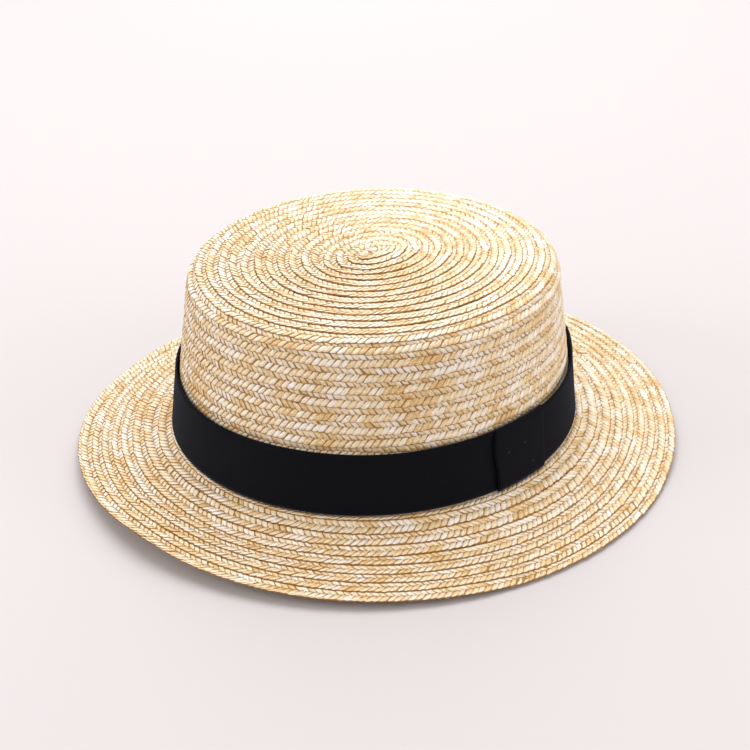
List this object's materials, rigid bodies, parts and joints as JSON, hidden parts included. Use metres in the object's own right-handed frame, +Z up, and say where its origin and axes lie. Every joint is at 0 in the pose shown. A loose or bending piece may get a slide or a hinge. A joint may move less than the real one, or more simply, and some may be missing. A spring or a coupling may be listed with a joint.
{
  "type": "straw hat",
  "caption": "Straw boater hat with a low flat-topped crown, a flat round brim and a dark ribbon band with a flat tab, worn on the head or laid on its brim.",
  "frame": {"origin": "centre of the hat at the floor it rests on, under the middle of the crown", "axes": "+Z up through the crown, front of the hat towards -Y, wearer's left side with the ribbon tab towards +X"},
  "size_m": [0.2724, 0.2832, 0.0908],
  "materials": {
    "crown": "natural wheat straw plait, satin",
    "brim": "natural wheat straw plait, satin",
    "hat_band": "black ribbed grosgrain ribbon, matt",
    "band_tab": "black ribbed grosgrain ribbon, matt"
  },
  "bodies": {
    "root": {"crown": "crown", "brim": "brim", "hat_band": "hat_band", "band_tab": "band_tab"}
  },
  "joints": []
}
